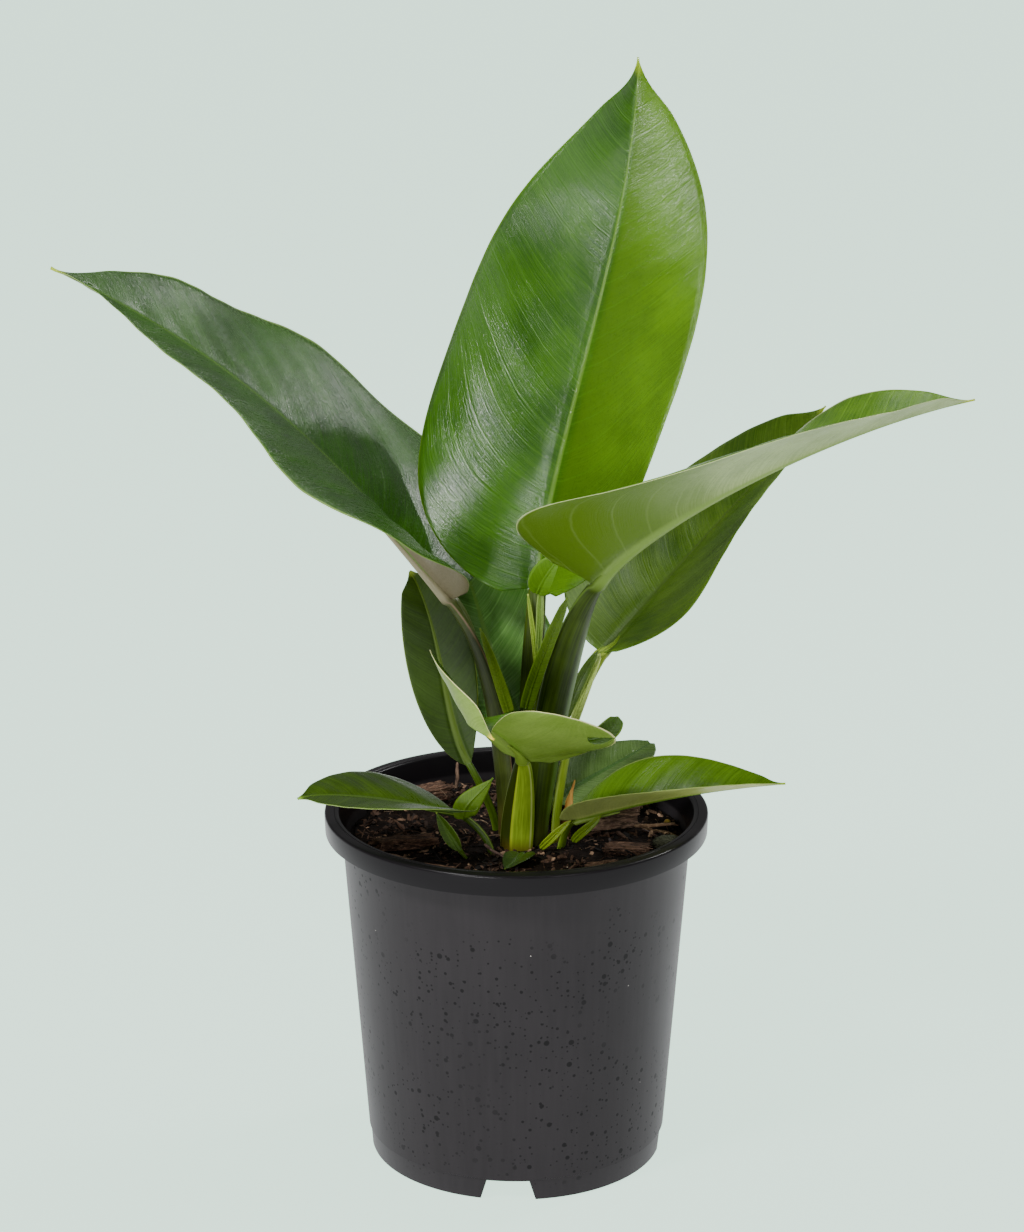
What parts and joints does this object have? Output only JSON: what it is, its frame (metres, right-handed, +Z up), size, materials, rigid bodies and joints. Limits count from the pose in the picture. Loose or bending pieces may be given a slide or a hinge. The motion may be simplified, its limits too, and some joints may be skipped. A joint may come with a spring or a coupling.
{
  "type": "potted foliage plant",
  "caption": "Potted philodendron with broad pointed leaves on upright sheathed stalks, growing in bark-based mix in a tapered black nursery pot with a rolled rim.",
  "frame": {"origin": "on the ground, at the middle of the pot's foot", "axes": "+Z up out of the pot, -Y towards the side the plant is shown from, with the young folded leaf; +X to that viewer's right"},
  "size_m": [0.4626, 0.2354, 0.5662],
  "materials": {
    "pot_plastic": "satin",
    "potting_mix": "matte",
    "crown_and_roots": "matte",
    "mature_leaf": "satin",
    "dark_leaf": "satin",
    "young_leaf": "satin",
    "bark": "matte",
    "twig": "matte",
    "grit": "matte",
    "fertiliser": "satin",
    "dried_scale": "matte"
  },
  "bodies": {
    "root": {"nursery_pot": "pot_plastic", "potting_mix": "potting_mix", "crown_with_roots": "crown_and_roots", "tall_centre_leaf": "mature_leaf", "left_leaf": "mature_leaf", "right_leaf": "mature_leaf", "right_rear_leaf": "dark_leaf", "rear_leaf": "dark_leaf", "left_rear_leaf": "dark_leaf", "low_left_leaf": "dark_leaf", "low_right_rear_leaf": "dark_leaf", "low_front_leaf": "dark_leaf", "young_front_leaf": "young_leaf", "low_right_leaf": "young_leaf", "small_side_leaf": "young_leaf", "bud_scale": "dried_scale", "fertiliser_bead": "fertiliser", "grey_grit": "grit", "bark_block": "bark", "bark_slab_left": "bark", "bark_slab_rim": "bark", "bark_chip_front_left": "bark", "bark_chip_front": "bark", "bark_chip_mound": "bark", "bark_chip_rear": "bark", "bark_chip_right": "bark", "bark_chip_right_front": "bark", "twig_lower": "twig", "twig_upper": "twig", "twig_front": "twig", "bark_sliver": "twig"}
  },
  "joints": []
}
